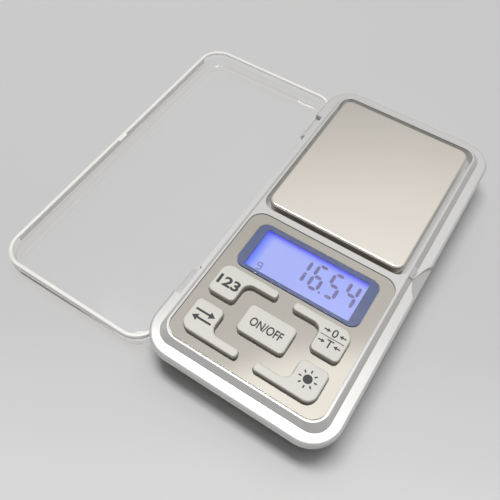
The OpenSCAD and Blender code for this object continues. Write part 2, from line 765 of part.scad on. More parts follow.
// places of the four corner keys, each outline turned to face the keypad's middle
module far_left() translate([keypad_x, near(far_keys), 0]) children();
module far_right() translate([keypad_x, near(far_keys), 0]) mirror([1, 0, 0]) children();
module near_left() translate([keypad_x, near(near_keys + corner_l), 0]) mirror([0, 1, 0]) children();
module near_right() translate([keypad_x, near(near_keys + corner_l), 0])
    mirror([1, 0, 0]) mirror([0, 1, 0]) children();
module power_place() translate([keypad_x, near(power_y), 0]) children();

key_grey = "#e2dfd8";
module key_count() color(key_grey) far_left() corner_key();
module key_tare() color(key_grey) far_right() corner_key();
module key_mode() color(key_grey) near_left() corner_key();
module key_light() color(key_grey) near_right() corner_key();
module key_power() color(key_grey) power_place() {
    soft_corners(power_outline, power_radii, flange_z, key_z, key_edge);
    key_foot(power_outline, power_radii);
}

module faceplate() color("#d6c9b6") {
    difference() {
        slab(seat_z, plate_z)
            rect(-inner_w + plate_gap, near(inner_in + plate_gap), inner_w - plate_gap,
                near(bar_y - plate_gap), plate_r);
        slab(seat_z - over, plate_z + over) {
            far_left() key_shape(corner_outline, corner_radii, key_gap);
            far_right() key_shape(corner_outline, corner_radii, key_gap);
            near_left() key_shape(corner_outline, corner_radii, key_gap);
            near_right() key_shape(corner_outline, corner_radii, key_gap);
            power_place() key_shape(power_outline, power_radii, key_gap);
            rect(-window_w / 2 - window_gap, near(window_y - window_l / 2 - window_gap),
                window_w / 2 + window_gap, near(window_y + window_l / 2 + window_gap),
                window_r + window_gap);
        }
    }
}

module lcd_window() color("#5a6490") {
    soft_block(-window_w / 2, near(window_y - window_l / 2), window_w / 2,
        near(window_y + window_l / 2), window_r, seat_z, window_z, window_proud / 2);
}

module lcd_glass() color("#a0b0ff") {
    slab(glass_z, seat_z)
        rect(-glass_w / 2, near(glass_near), glass_w / 2, near(glass_near + glass_l), window_gap);
}

module backlight() color("#f4f6ff") {
    block(-glass_w / 2, near(glass_near + glass_l - backlight_l), backlight_z,
        glass_w / 2, near(glass_near + glass_l), glass_z);
}

module zebra_strip() color("#d88f9a") {
    block(-glass_w / 2 + 1, near(glass_near), backlight_z,
        glass_w / 2 - 1, near(glass_near + zebra_w), glass_z);
}

module main_board() color("#2f7d4f") {
    difference() {
        slab(main_z, backlight_z)
            rect(-main_half_w, near(main_near), main_half_w, near(main_far), 1);
        for (s = [-1, 1]) rod(s * main_post_x, near(window_y), main_z - over,
            backlight_z + over, board_screw_r + cell_screw_gap);
    }
}

// blob of black resin over the controller, under the main board
module controller_chip() color("#1c1c1e") {
    slab(main_z - chip_t, main_z)
        rect(-chip_w / 2, near(window_y - chip_w / 2), chip_w / 2, near(window_y + chip_w / 2), chip_w / 4);
}

// a pan head screw that points down, its head's seat at the origin
module screw(r, head_r, head, length) {
    difference() {
        union() {
            cylinder(h = head, r = head_r, $fn = bore_fn);
            translate([0, 0, -length]) cylinder(h = length + head / 2, r = r, $fn = bore_fn);
        }
        // cross slot
        for (a = [0, 90]) rotate([0, 0, a]) translate([-head_r / 2, -head_r / 10, head / 2])
            cube([head_r, head_r / 5, head]);
    }
}

module board_screws() color("#c9ccd0") {
    for (s = [-1, 1]) translate([s * main_post_x, near(window_y), backlight_z]) 
        screw(board_screw_r, board_head_r, board_head_h, main_t + board_screw_l);
}

module key_board() color("#2f7d4f") {
    slab(board_z, shelf_z)
        rect(-board_half_w, near(board_near), board_half_w, near(board_far), 1);
}

// snap domes under the middle of each key, drawn at their pressed height
module key_domes() color("#c9ccd0") {
    dome_x = (corner_out + corner_in) / 2;
    for (x = [keypad_x - dome_x, keypad_x + dome_x], y = [near_keys, far_keys])
        rod(x, near(y + corner_l / 2), shelf_z, shelf_z + dome_t, dome_r);
    rod(keypad_x, near(power_y + power_l / 2), shelf_z, shelf_z + dome_t, dome_r);
}

// flat lead that drops from the key board to the main board
module board_ribbon() color("#d8a860") {
    tail = near(glass_near - window_gap);
    drop = near(board_far);
    translate([-ribbon_w / 2, 0, 0]) rotate([90, 0, 90]) linear_extrude(ribbon_w)
        polygon([[drop - ribbon_t, board_z], [drop - ribbon_t, backlight_z], [tail, backlight_z],
            [tail, backlight_z + ribbon_t], [drop, backlight_z + ribbon_t], [drop, board_z]]);
}

// flat lead from the load cell's fixed end up to the main board
module cell_ribbon() color("#d8a860") {
    lead_z = bore_z + cell_bore_r / 2;
    cell_face = near(cell_y - cell_l / 2);
    tail = near(main_far - rest_r);
    drop = near(main_far + under_gap);
    translate([-cell_ribbon_w / 2, 0, 0]) rotate([90, 0, 90]) linear_extrude(cell_ribbon_w)
        polygon([[cell_face, lead_z], [drop + ribbon_t, lead_z], [drop + ribbon_t, backlight_z + ribbon_t],
            [tail, backlight_z + ribbon_t], [tail, backlight_z], [drop, backlight_z],
            [drop, lead_z - ribbon_t], [cell_face, lead_z - ribbon_t]]);
}

module weighing_pan() color("#d9d3c6") {
    difference() {
        soft_block(-pan_w / 2, near(pan_y - pan_l / 2), pan_w / 2, near(pan_y + pan_l / 2), pan_r,
            pan_foot, pan_z, pan_edge);
        soft_block(-pan_w / 2 + pan_t, near(pan_y - pan_l / 2 + pan_t), pan_w / 2 - pan_t,
            near(pan_y + pan_l / 2 - pan_t), pan_r - pan_t, pan_foot - over, pan_z - pan_t,
            max(pan_edge - pan_t, pan_inner_edge));
    }
}

module pan_support() color("#dcdad5") {
    inset = pan_t + carrier_gap;
    difference() {
        union() {
            slab(carrier_z, pan_z - pan_t)
                rect(-pan_w / 2 + inset, near(pan_y - pan_l / 2 + inset), pan_w / 2 - inset,
                    near(pan_y + pan_l / 2 - inset), pan_r - inset / 2);
            slab(cell_top, carrier_z + over)
                rect(-cell_w / 2, near(free_y - cell_end / 2), cell_w / 2, near(free_y + cell_end / 2), 1);
        }
        for (s = [-1, 1]) rod(0, near(free_y + s * cell_pitch / 2), cell_top - over, carrier_z,
            cell_screw_r + fit_gap);
    }
}

// bending beam with a pair of joined cross holes
module load_cell() color("#b9bcc0") {
    difference() {
        slab(cell_z, cell_top)
            rect(-cell_w / 2, near(cell_y - cell_l / 2), cell_w / 2, near(cell_y + cell_l / 2), 0.5);
        for (s = [-1, 1])
            rod_x(near(cell_y + s * cell_bore_gap / 2), bore_z, -cell_w / 2 - over, cell_w / 2 + over,
                cell_bore_r);
        block(-cell_w / 2 - over, near(cell_y - cell_bore_gap / 2), bore_z - 0.5,
            cell_w / 2 + over, near(cell_y + cell_bore_gap / 2), bore_z + 0.5);
        for (y = [fixed_y, free_y], s = [-1, 1])
            rod(0, near(y + s * cell_pitch / 2), cell_z - over, cell_top + over,
                cell_screw_r + cell_screw_gap);
    }
}

// potting over the strain gauges
module gauge_cover() color("#f2f2ee") {
    slab(cell_top, cell_top + gauge_t)
        rect(-cell_w / 2 + 1, near(cell_y - gauge_l / 2), cell_w / 2 - 1, near(cell_y + gauge_l / 2), 1);
}

module load_cell_screws() color("#8f9398") {
    for (s = [-1, 1]) translate([0, near(fixed_y + s * cell_pitch / 2), cell_top])
        screw(cell_screw_r, cell_head_r, cell_head_h, cell_top - floor_t);
}

module pan_screws() color("#8f9398") {
    for (s = [-1, 1]) translate([0, near(free_y + s * cell_pitch / 2), cell_z]) mirror([0, 0, 1])
        screw(cell_screw_r, cell_head_r, cell_head_h, carrier_z - cell_z - carrier_t);
}

// battery cell along X, its button at the +X end
module battery() {
    rod_x(0, 0, -battery_l / 2, battery_l / 2 - button_l, battery_d / 2);
    rod_x(0, 0, battery_l / 2 - button_l - over, battery_l / 2, button_r);
}

module battery_near() color("#3a6ea5")
    translate([0, near(bay_y - cell_shift), battery_z]) battery();
module battery_far() color("#3a6ea5")
    translate([0, near(bay_y + cell_shift), battery_z]) mirror([1, 0, 0]) battery();

contact_half = battery_d / 3;
contact_foot = door_t + 2 * door_gap;
button_r = 1.9;
button_l = 0.9;

module contact_plate() {
    block(bay_half_w - contact_t, -contact_half, contact_foot, bay_half_w, contact_half, board_z);
}

module positive_contact() {
    contact_plate();
    rod_x(0, battery_z, battery_l / 2, bay_half_w - contact_t / 2, button_r);
}

// plate with a bowed leaf that presses on the cell's flat end
module negative_contact() {
    reach = contact_depth - contact_t;
    rise = contact_half;
    inner_rise = rise - 2 * contact_t;
    contact_plate();
    translate([bay_half_w - contact_t, contact_half / 2, battery_z]) rotate([90, 0, 0])
        linear_extrude(contact_half) difference() {
            polygon([[slice, -rise], [-reach, -rise / 4], [-reach, rise / 4], [slice, rise]]);
            polygon([[2 * slice, -inner_rise], [contact_t - reach, -inner_rise / 4],
                [contact_t - reach, inner_rise / 4], [2 * slice, inner_rise]]);
        }
}

module positive_contacts() color("#c7c9cc") {
    translate([0, near(bay_y - cell_shift), 0]) positive_contact();
    translate([0, near(bay_y + cell_shift), 0]) mirror([1, 0, 0]) positive_contact();
}

module negative_contacts() color("#c7c9cc") {
    translate([0, near(bay_y - cell_shift), 0]) mirror([1, 0, 0]) negative_contact();
    translate([0, near(bay_y + cell_shift), 0]) negative_contact();
}

// cover in the underside that slides off to the right, held by tongues along both sides
module battery_door() color("#e9e7e2") {
    end_x = half_w - low_inset - low_taper;
    half = bay_half_l - door_gap;
    tongue_half = half + tongue_w;
    grooves = 5;
    groove_pitch = 1.2;
    groove_half = bay_half_l / 2;
    difference() {
        union() {
            block(-bay_half_w + door_gap, near(bay_y - half), 0, end_x, near(bay_y + half), door_t);
            block(-bay_half_w + door_gap + tongue_w, near(bay_y - tongue_half), tongue_z,
                end_x - bay_wall, near(bay_y + tongue_half), tongue_z + tongue_t);
        }
        for (k = [1 : grooves]) translate([end_x - bay_wall - groove_pitch * k, 0, 0])
            block(0, near(bay_y) - groove_half, -over, groove_pitch / 2, near(bay_y) + groove_half,
                groove_depth);
    }
}

module feet() color("#4a4a4c") {
    case_screw_places() translate([0, 0, -foot_out])
        difference() {
            cylinder(h = foot_out + foot_seat, r = foot_r, $fn = bore_fn);
            translate([0, 0, -over]) cylinder(h = over + foot_seat / 2, r = foot_r / 2, $fn = bore_fn);
        }
}

module case_screws() color("#c9ccd0") {
    case_screw_places() translate([0, 0, screw_seat]) mirror([0, 0, 1])
        screw(screw_r, screw_head_r, screw_head_h, deck_z - deck_t / 2 - screw_seat);
}

// the cover as it lies when shut, over the rim and on the ledge
module lid_shut() {
    catch_z = ledge_z + lid_gap;
    catch_x = lid_right - lid_wall;
    difference() {
        soft_block(hinge_wall_x, -lid_l / 2, lid_right, lid_l / 2, lid_r, ledge_z + lid_gap,
            lid_top_z, lid_edge);
        soft_block(hinge_wall_x + lid_wall, -lid_l / 2 + lid_wall, lid_right - lid_wall,
            lid_l / 2 - lid_wall, lid_r - lid_wall, ledge_z - over, lid_top_z - lid_top_t, lid_fillet);
    }
    // catch that snaps under the latch bump
    translate([0, near(latch_y) + latch_l / 2, 0]) rotate([90, 0, 0]) linear_extrude(latch_l)
        polygon([[catch_x + catch_out, catch_z], [catch_x, catch_z],
            [catch_x - catch_out, catch_z + catch_out / 2], [catch_x, catch_z + 2 * catch_out],
            [catch_x + catch_out, catch_z + 2 * catch_out]]);
    knuckle_near = recess_y + knuckle_gap;
    both_ends() {
        rod_y(hinge_x, hinge_z, near(knuckle_near), near(knuckle_near + knuckle_l), knuckle_r);
        rod_y(hinge_x, hinge_z, near(recess_y - peg_l), near(knuckle_near + over), peg_r);
        web_x = -half_w + recess_in - lid_gap - peg_gap;
        block(web_x - web_t, near(knuckle_near), hinge_z,
            web_x, near(knuckle_near + knuckle_l), ledge_z + lid_wall);
    }
}

// the cover swung half a turn about its hinge, so that it lies on its top beside the case
module lid() color([0.86, 0.89, 0.92, 0.45]) {
    translate([hinge_x, 0, hinge_z]) rotate([0, 180, 0]) translate([-hinge_x, 0, -hinge_z]) lid_shut();
}

upper_case();
lower_case();
faceplate();
lcd_window();
lcd_glass();
backlight();
zebra_strip();
main_board();
controller_chip();
board_screws();
key_board();
key_domes();
board_ribbon();
cell_ribbon();
key_count();
key_mode();
key_power();
key_tare();
key_light();
weighing_pan();
pan_support();
load_cell();
gauge_cover();
load_cell_screws();
pan_screws();
battery_near();
battery_far();
positive_contacts();
negative_contacts();
battery_door();
feet();
case_screws();
lid();
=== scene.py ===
"""Pocket coin scale with a clear cover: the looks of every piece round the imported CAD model."""

import math

import bmesh
import bpy
from mathutils import Matrix, Vector


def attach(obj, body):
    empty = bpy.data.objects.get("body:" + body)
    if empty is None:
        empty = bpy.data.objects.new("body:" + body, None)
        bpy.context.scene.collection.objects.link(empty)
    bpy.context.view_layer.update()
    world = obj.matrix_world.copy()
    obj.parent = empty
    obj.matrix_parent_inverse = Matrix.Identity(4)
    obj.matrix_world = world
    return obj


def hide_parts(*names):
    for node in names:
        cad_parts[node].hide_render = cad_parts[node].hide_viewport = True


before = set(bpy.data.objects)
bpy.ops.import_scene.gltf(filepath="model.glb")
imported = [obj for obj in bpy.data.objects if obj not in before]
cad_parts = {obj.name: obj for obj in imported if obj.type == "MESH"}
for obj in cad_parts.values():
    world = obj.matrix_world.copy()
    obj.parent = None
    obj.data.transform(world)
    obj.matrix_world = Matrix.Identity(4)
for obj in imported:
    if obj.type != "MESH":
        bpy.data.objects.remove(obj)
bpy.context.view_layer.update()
scene = bpy.context.scene

MM = 0.001

# camera, floor and light

SKY_STRENGTH = 1.6
# the middle of the overhead diffuser, and how bright the sky is from its far horizon up to that middle
SKY_MIDDLE = (0.14, 0.08, 0.987)
SKY = [
    (0.000, "#363636"),
    (0.469, "#5c5c5c"),
    (0.616, "#818181"),
    (0.707, "#a5a5a5"),
    (0.755, "#b2b2b2"),
    (0.788, "#c1c1c1"),
    (0.819, "#c1c1c1"),
    (0.848, "#cacaca"),
    (0.883, "#cacaca"),
    (0.914, "#d1d1d1"),
    (0.932, "#ffffff"),
    (1.000, "#ffffff"),
]
# between these directions the sky's light falls off to a share, towards the near side and to the right
NEAR_FADE, RIGHT_FADE, FADED = (-0.25, 0.0), (0.15, 0.35), 0.35
LAMP_AT, LAMP_SIZE, LAMP_WATTS = (-0.14, 0.07, 1.0), (0.5, 0.2), 6.6


def placed(name, data):
    """A new object in the scene."""
    made = bpy.data.objects.new(name, data)
    scene.collection.objects.link(made)
    return made


def place_camera():
    """Camera at the photograph's place and angle."""
    camera = placed("camera", bpy.data.cameras.new("camera"))
    camera.matrix_world = (
        Matrix.Translation(Vector((29.05, -99.39, 161.61)) * MM)
        @ Matrix.Rotation(math.radians(30.70), 4, "Z")
        @ Matrix.Rotation(math.radians(32.263), 4, "X")
        @ Matrix.Rotation(math.radians(2.290), 4, "Z")
    )
    camera.data.lens = 42.0
    camera.data.sensor_width = 36
    camera.data.clip_start = 0.005
    scene.camera = camera


def lay_table():
    """Pale table just below the feet."""
    mesh = bpy.data.meshes.new("table")
    half, low = 4.0, -0.85 * MM
    corners = [(-half, -half, low), (half, -half, low), (half, half, low), (-half, half, low)]
    mesh.from_pydata(corners, [], [(0, 1, 2, 3)])
    mesh.materials.append(table_laminate())
    placed("table", mesh)


def hang_lights():
    """A sky that is brightest overhead, and one soft box."""
    world = bpy.data.worlds.new("sky")
    scene.world = world
    world.use_nodes = True
    nodes = world.node_tree
    nodes.nodes.clear()
    place = node(nodes, "ShaderNodeTexCoord")
    near_middle = node(
        nodes,
        "ShaderNodeVectorMath",
        {0: place.outputs["Generated"], 1: SKY_MIDDLE},
        operation="DOT_PRODUCT",
    )
    ramp = node(nodes, "ShaderNodeValToRGB", {0: near_middle.outputs["Value"]})
    paint_ramp(ramp, SKY)
    # less light comes from the near side and from the right
    axes = node(nodes, "ShaderNodeSeparateXYZ", {0: place.outputs["Generated"]})
    start, end = NEAR_FADE
    near = node(
        nodes, "ShaderNodeMapRange", {0: axes.outputs["Y"], 1: start, 2: end, 3: FADED, 4: 1.0}
    )
    start, end = RIGHT_FADE
    right = node(
        nodes, "ShaderNodeMapRange", {0: axes.outputs["X"], 1: start, 2: end, 3: 1.0, 4: FADED}
    )
    weaker = node(
        nodes, "ShaderNodeMath", {0: near.outputs[0], 1: right.outputs[0]}, operation="MULTIPLY"
    )
    dome = node(
        nodes,
        "ShaderNodeVectorMath",
        {0: ramp.outputs[0], "Scale": weaker.outputs[0]},
        operation="SCALE",
    )
    # the horizon is pale where it is seen, mirrored or looked at through the cover
    rays = node(nodes, "ShaderNodeLightPath")
    seen = rays.outputs["Is Camera Ray"]
    for kind in ("Is Glossy Ray", "Is Transmission Ray"):
        seen = node(nodes, "ShaderNodeMath", {0: seen, 1: rays.outputs[kind]}, operation="ADD").outputs[0]
    sky = blend(nodes, seen, dome.outputs[0], linear("#919191"), "LIGHTEN")
    light = node(nodes, "ShaderNodeBackground", {0: sky, 1: SKY_STRENGTH})
    node(nodes, "ShaderNodeOutputWorld", {0: light.outputs[0]})

    box = bpy.data.lights.new("soft box", "AREA")
    box.shape = "RECTANGLE"
    box.size, box.size_y = LAMP_SIZE
    box.energy = LAMP_WATTS
    placed("soft box", box).location = LAMP_AT
    scene.view_settings.view_transform = "Standard"


# materials


def linear(hex_colour):
    """An sRGB hex colour as the linear one that Blender works in."""
    parts = [int(hex_colour[i : i + 2], 16) / 255 for i in (1, 3, 5)]
    return [c / 12.92 if c <= 0.04045 else ((c + 0.055) / 1.055) ** 2.4 for c in parts] + [1.0]


def node(tree, kind, links=None, **settings):
    """Adds a shader node. links gives its inputs: a socket to link, or a value to set."""
    made = tree.nodes.new(kind)
    for key, value in settings.items():
        setattr(made, key, value)
    for key, value in (links or {}).items():
        if isinstance(value, bpy.types.NodeSocket):
            tree.links.new(value, made.inputs[key])
        else:
            made.inputs[key].default_value = value
    return made


def blend(tree, share, first, second, kind="MIX"):
    """The colour socket of a mix of two colours."""
    mix = node(
        tree, "ShaderNodeMix", {0: share, 6: first, 7: second}, data_type="RGBA", blend_type=kind
    )
    return mix.outputs[2]


def paint_ramp(ramp, stops):
    """Sets a colour ramp's stops, given as (place, hex colour)."""
    elements = ramp.color_ramp.elements
    for element, (place, colour) in zip(elements, stops):
        element.position, element.color = place, linear(colour)
    for place, colour in stops[2:]:
        elements.new(place).color = linear(colour)


def finish_of(name, **values):
    """A new material with one Principled shader; values are set on its sockets."""
    made = bpy.data.materials.new(name)
    made.use_nodes = True
    shader = made.node_tree.nodes["Principled BSDF"]
    for key, value in values.items():
        socket = shader.inputs[key.replace("_", " ")]
        socket.default_value = linear(value) if isinstance(value, str) else value
    return made, made.node_tree, shader


def grain(tree, size_mm, stretch=(1, 1, 1), detail=3.0):
    """Noise whose features are size_mm wide, drawn out along an axis by stretch."""
    place = node(tree, "ShaderNodeTexCoord")
    scaled = node(
        tree,
        "ShaderNodeVectorMath",
        {0: place.outputs["Object"], 1: [1000 / size_mm / s for s in stretch]},
        operation="MULTIPLY",
    )
    return node(tree, "ShaderNodeTexNoise", {"Vector": scaled.outputs[0], "Scale": 1.0, "Detail": detail})


def roughen(tree, shader, noise, height_mm, low, high):
    """Lets the noise stand height_mm high in the surface and vary its roughness from low to high."""
    bump = node(
        tree,
        "ShaderNodeBump",
        {"Height": noise.outputs["Fac"], "Distance": height_mm * MM, "Strength": 1.0},
    )
    tree.links.new(bump.outputs[0], shader.inputs["Normal"])
    varied = node(tree, "ShaderNodeMapRange", {0: noise.outputs["Fac"], 3: low, 4: high})
    tree.links.new(varied.outputs[0], shader.inputs["Roughness"])


def tint(tree, shader, noise, colour, other):
    """Lets the base colour drift from colour to other with the noise."""
    drifting = blend(tree, noise.outputs["Fac"], linear(colour), linear(other))
    tree.links.new(drifting, shader.inputs["Base Color"])


def table_laminate():
    """Matt white laminate with a faint cloudiness, and painted light: a little brighter towards the near
    right, where more light falls.
    """
    made, tree, shader = finish_of("table_laminate", Roughness=0.75, Specular_IOR_Level=0.2)
    # painted light: the ramp below brightens the table towards the near right
    place = node(tree, "ShaderNodeTexCoord")
    along = node(
        tree,
        "ShaderNodeVectorMath",
        {0: place.outputs["Object"], 1: (5.0, -9.0, 0.0)},
        operation="DOT_PRODUCT",
    )
    ramp = node(tree, "ShaderNodeValToRGB", {0: along.outputs["Value"]})
    paint_ramp(ramp, [(0.0, "#c9c8c8"), (0.3, "#cccbcb"), (0.6, "#d4d4d4"), (0.75, "#dadada")])
    cloud = blend(tree, grain(tree, 90, detail=2.0).outputs["Fac"], linear("#fbfbfb"), linear("#ffffff"))
    shade = blend(tree, 1.0, ramp.outputs[0], cloud, "MULTIPLY")
    tree.links.new(shade, shader.inputs["Base Color"])
    return made


def moulded(name, colour, other, roughness, grain_mm, height_mm, **values):
    """Injection moulded plastic: the mould's fine spark texture breaks up the highlights."""
    made, tree, shader = finish_of(name, IOR=1.5, **values)
    roughen(tree, shader, grain(tree, grain_mm), height_mm, roughness * 0.85, roughness * 1.15)
    tint(tree, shader, grain(tree, 25, detail=2.0), colour, other)
    return made


def rolled_metal(name, colour, other, roughness, grain_mm, stretch, height_mm):
    """Sheet metal with a lay: fine lines along the rolling or brushing direction."""
    made, tree, shader = finish_of(name, Metallic=1.0)
    roughen(tree, shader, grain(tree, grain_mm, stretch), height_mm, roughness * 0.85, roughness * 1.15)
    tint(tree, shader, grain(tree, 30, detail=2.0), colour, other)
    return made


def waviness(tree, shader, size_mm, detail, height_mm):
    """Lets slow waves stand height_mm high in a polished surface."""
    waves = grain(tree, size_mm, detail=detail)
    bump = node(tree, "ShaderNodeBump", {"Height": waves.outputs["Fac"], "Distance": height_mm * MM})
    tree.links.new(bump.outputs[0], shader.inputs["Normal"])


def clear_polystyrene():
    """Moulded clear polystyrene: polished, with a slight waviness."""
    made, tree, shader = finish_of(
        "clear_polystyrene", Base_Color="#ffffff", IOR=1.33, Transmission_Weight=1.0, Roughness=0.03
    )
    waviness(tree, shader, 30, 0.0, 0.03)
    lights_through(tree, shader, "#fefefe")
    return made


def polystyrene_painted_glow(name, clearness, smooth, rough, colour, other):
    """Polystyrene drawn off-white and part opaque, as painted light for the glow that thick clear plastic
    gathers at the rim and in the barrels.
    """
    made, tree, shader = finish_of(name, IOR=1.5, Transmission_Weight=clearness)
    roughen(tree, shader, grain(tree, 0.5), 0.004, smooth, rough)
    tint(tree, shader, grain(tree, 12), colour, other)
    lights_through(tree, shader, "#f4f4f0")
    return made


def clear_acrylic():
    """Cast acrylic window with a hard gloss."""
    made, tree, shader = finish_of(
        "clear_acrylic", Base_Color="#fdfdfd", IOR=1.49, Transmission_Weight=1.0, Roughness=0.04
    )
    waviness(tree, shader, 12, 1.0, 0.01)
    lights_through(tree, shader, "#f8f8f8")
    return made


def lights_through(tree, shader, colour):
    """Light falls straight through a clear piece on to what lies under it."""
    rays = node(tree, "ShaderNodeLightPath")
    either = node(
        tree,
        "ShaderNodeMath",
        {0: rays.outputs["Is Shadow Ray"], 1: rays.outputs["Is Diffuse Ray"]},
        operation="MAXIMUM",
    )
    through = node(tree, "ShaderNodeBsdfTransparent", {0: linear(colour)})
    mixed = node(
        tree,
        "ShaderNodeMixShader",
        {0: either.outputs[0], 1: shader.outputs[0], 2: through.outputs[0]},
    )
    tree.links.new(mixed.outputs[0], tree.nodes["Material Output"].inputs[0])


def lit_display():
    """Backlit liquid crystal: pale blue, deepening to saturated blue at the far and left edges."""
    made, tree, shader = finish_of(
        "lit_display", Base_Color="#20264a", Roughness=0.35, Emission_Strength=0.8
    )
    place = node(tree, "ShaderNodeTexCoord")
    axes = node(tree, "ShaderNodeSeparateXYZ", {0: place.outputs["Object"]})
    far = node(tree, "ShaderNodeMapRange", {0: axes.outputs["Y"], 1: -9.97 * MM, 2: -13.0 * MM})
    ramp = node(tree, "ShaderNodeValToRGB", {0: far.outputs[0]})
    paint_ramp(ramp, [(0.0, "#2b22f4"), (0.3, "#5a5cff"), (0.6, "#8f9cff"), (1.0, "#a4b2ff")])
    left = node(tree, "ShaderNodeMapRange", {0: axes.outputs["X"], 1: -17.4 * MM, 2: -14.0 * MM})
    lamp_side = node(tree, "ShaderNodeValToRGB", {0: left.outputs[0]})
    paint_ramp(lamp_side, [(0.0, "#1f6cff"), (0.25, "#6ea2ff"), (1.0, "#ffffff")])
    field = blend(tree, 1.0, ramp.outputs[0], lamp_side.outputs[0], "MULTIPLY")
    cloud = grain(tree, 9, detail=1.0)
    uneven = blend(tree, cloud.outputs["Fac"], linear("#f2f4ff"), linear("#ffffff"))
    tree.links.new(blend(tree, 1.0, field, uneven, "MULTIPLY"), shader.inputs["Emission Color"])
    return made


def segment_ink():
    """Dark liquid crystal over the light guide: muted purple, a little uneven."""
    made, tree, shader = finish_of("segment_ink", Roughness=0.4, Emission_Strength=0.9)
    patches = grain(tree, 2.5)
    tint(tree, shader, patches, "#2c2952", "#34305c")
    glow = blend(tree, patches.outputs["Fac"], linear("#353170"), linear("#403c7e"))
    tree.links.new(glow, shader.inputs["Emission Color"])
    return made


def screened_ink(name, colour, other):
    """Screen printed ink: matt, with the mesh's fine unevenness."""
    made, tree, shader = finish_of(name, Roughness=0.55, Specular_IOR_Level=0.3)
    tint(tree, shader, grain(tree, 0.4), colour, other)
    return made


# mesh helpers


def add_mesh(name, mesh, material, body):
    """A new piece, riding on a CAD body."""
    made = placed(name, mesh)
    mesh.materials.append(material)
    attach(made, body)
    return made


def round_loop(x0, y0, x1, y1, radius, steps=14):
    """Points of a rounded rectangle, counter-clockwise, in millimetres."""
    radius = max(radius, 0.02)
    points = []
    for cx, cy, start in [
        (x1 - radius, y0 + radius, -90),
        (x1 - radius, y1 - radius, 0),
        (x0 + radius, y1 - radius, 90),
        (x0 + radius, y0 + radius, 180),
    ]:
        for k in range(steps + 1):
            a = math.radians(start + 90 * k / steps)
            points.append((cx + radius * math.cos(a), cy + radius * math.sin(a)))
    return points


def arc(cx, cz, radius, start, end, steps=6):
    """Points (inset, height) along an arc, in degrees."""
    return [
        (
            cx + radius * math.cos(math.radians(start + (end - start) * k / steps)),
            cz + radius * math.sin(math.radians(start + (end - start) * k / steps)),
        )
        for k in range(steps + 1)
    ]


def level_ring(mesh, outline, height):
    """Vertices along an outline in millimetres, all at one height."""
    return [mesh.verts.new((x * MM, y * MM, height * MM)) for x, y in outline]


def band(mesh, ring, following):
    """Faces between two rings with as many corners each."""
    count = len(ring)
    return [
        mesh.faces.new((ring[k], ring[(k + 1) % count], following[(k + 1) % count], following[k]))
        for k in range(count)
    ]


def skinned(mesh, rings):
    """Closes the rings into one solid, with a cap at both ends."""
    for ring, following in zip(rings, rings[1:]):
        band(mesh, ring, following)
    mesh.faces.new(rings[0])
    mesh.faces.new(rings[-1])
    bmesh.ops.recalc_face_normals(mesh, faces=mesh.faces)
    return mesh


def stacked(rect, radius, profile):
    """Skins rounded rectangles: each (inset, height) of the profile is one ring."""
    x0, y0, x1, y1 = rect
    mesh = bmesh.new()
    rings = []
    for inset, height in profile:
        loop = round_loop(x0 + inset, y0 + inset, x1 - inset, y1 - inset, radius - inset)
        rings.append(level_ring(mesh, loop, height))
    return skinned(mesh, rings)


def to_mesh(name, work):
    """A finished mesh whose curved faces shade smoothly."""
    mesh = bpy.data.meshes.new(name)
    work.to_mesh(mesh)
    work.free()
    mesh.shade_smooth()
    mesh.set_sharp_from_angle(angle=math.radians(35))
    return mesh


def turned(points, axis_at, steps=40):
    """A solid of revolution about a line along Y: points are (distance along Y, radius)."""
    mesh = bmesh.new()
    cx, cz = axis_at
    angles = [2 * math.pi * k / steps for k in range(steps)]
    rings = [
        [
            mesh.verts.new(((cx + radius * math.cos(a)) * MM, y * MM, (cz + radius * math.sin(a)) * MM))
            for a in angles
        ]
        for y, radius in points
    ]
    return skinned(mesh, rings)


def prism(outline, low, high, mesh=None):
    """Extrudes an outline in millimetres from height low to high."""
    mesh = mesh or bmesh.new()
    bottom, top = level_ring(mesh, outline, low), level_ring(mesh, outline, high)
    faces = [mesh.faces.new(bottom), mesh.faces.new(top)] + band(mesh, bottom, top)
    bmesh.ops.recalc_face_normals(mesh, faces=faces)
    return mesh


def united(base, *tools):
    """base with the tools' solids joined to it as one skin."""
    objects = []
    for k, work in enumerate(tools):
        mesh = bpy.data.meshes.new(f"tool{k}")
        work.to_mesh(mesh)
        work.free()
        tool = placed(f"tool{k}", mesh)
        objects.append(tool)
        join = base.modifiers.new("join", "BOOLEAN")
        join.object, join.operation, join.solver = tool, "UNION", "EXACT"
    graph = bpy.context.evaluated_depsgraph_get()
    joined = bpy.data.meshes.new_from_object(base.evaluated_get(graph))
    base.modifiers.clear()
    old, base.data = base.data, joined
    bpy.data.meshes.remove(old)
    for tool in objects:
        bpy.data.meshes.remove(tool.data)
    return base


# carried-over CAD nodes

# moulded takes the two colours it drifts between, its roughness, and the grain's width and height in mm;
# rolled_metal also takes the grain's stretch along each axis, before its height
CASE_SILVER = moulded("abs_painted_pale_silver", "#d2d1cf", "#d7d6d4", 0.15, 0.3, 0.0006, Metallic=0.45)
# painted shade: the lower shell and battery door are drawn a darker grey than the upper case, for the
# shade under the case's overhang
SHELL_SHADED_GREY = moulded("abs_shell_painted_shade", "#bdbcba", "#c3c2c0", 0.45, 0.4, 0.006)
PLATE_METAL = rolled_metal(
    "aluminium_polished_champagne", "#bab5ac", "#bfbab1", 0.07, 0.3, (1, 14, 1), 0.0005
)
PAN_METAL = rolled_metal("stainless_rolled_satin", "#ebe4da", "#efe9df", 0.15, 0.3, (14, 1, 1), 0.0012)
KEY_PLASTIC = moulded("abs_moulded_key", "#cdcbc2", "#d2d0c8", 0.42, 0.35, 0.006)
CLEAR = clear_polystyrene()
ACRYLIC = clear_acrylic()
BOARD = moulded("glass_epoxy_lacquered", "#1f5b3c", "#246545", 0.35, 0.8, 0.01)
RESIN = moulded("epoxy_blob_cured", "#17171a", "#1d1d20", 0.3, 1.5, 0.02)
SCREW = rolled_metal("steel_zinc_plated", "#c9c8c6", "#d2d1cf", 0.3, 0.2, (1, 1, 1), 0.002)
